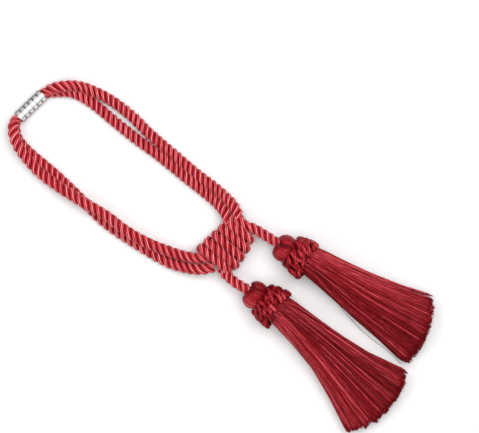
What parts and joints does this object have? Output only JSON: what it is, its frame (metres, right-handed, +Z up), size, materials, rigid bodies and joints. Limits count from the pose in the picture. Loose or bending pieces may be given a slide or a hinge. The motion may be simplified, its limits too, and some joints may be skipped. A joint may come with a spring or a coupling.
{
  "type": "curtain tieback with two tassels",
  "caption": "Doubled rope loop with a studded metal sleeve and a wrapped knot, ending in two tassels; holds a gathered curtain back.",
  "frame": {"origin": "centre of the underside of the whole object as it lies, on the surface", "axes": "+X runs from the sleeve to the tassels' tips, +Y across the loop, +Z up from the surface"},
  "size_m": [0.5474, 0.1842, 0.0421],
  "materials": {
    "rope": "three-ply satin rayon rope, warm red, strong sheen on the plies",
    "sleeve_metal": "bright silver tube with cut square studs",
    "head_thread": "satin thread laid over a ball, deep red",
    "ruff_braid": "looped braid, deep red",
    "skirt_thread": "fine rayon fringe thread, deep red, soft sheen"
  },
  "bodies": {
    "root": {"loop_cord_outer": "rope", "loop_cord_inner": "rope", "tassel_cord_upper": "rope", "tassel_cord_lower": "rope", "knot": "rope", "sleeve": "sleeve_metal", "tassel_head_upper": "head_thread", "tassel_head_lower": "head_thread", "tassel_ruff_upper": "ruff_braid", "tassel_ruff_lower": "ruff_braid", "tassel_skirt_upper": "skirt_thread", "tassel_skirt_lower": "skirt_thread"}
  },
  "joints": []
}
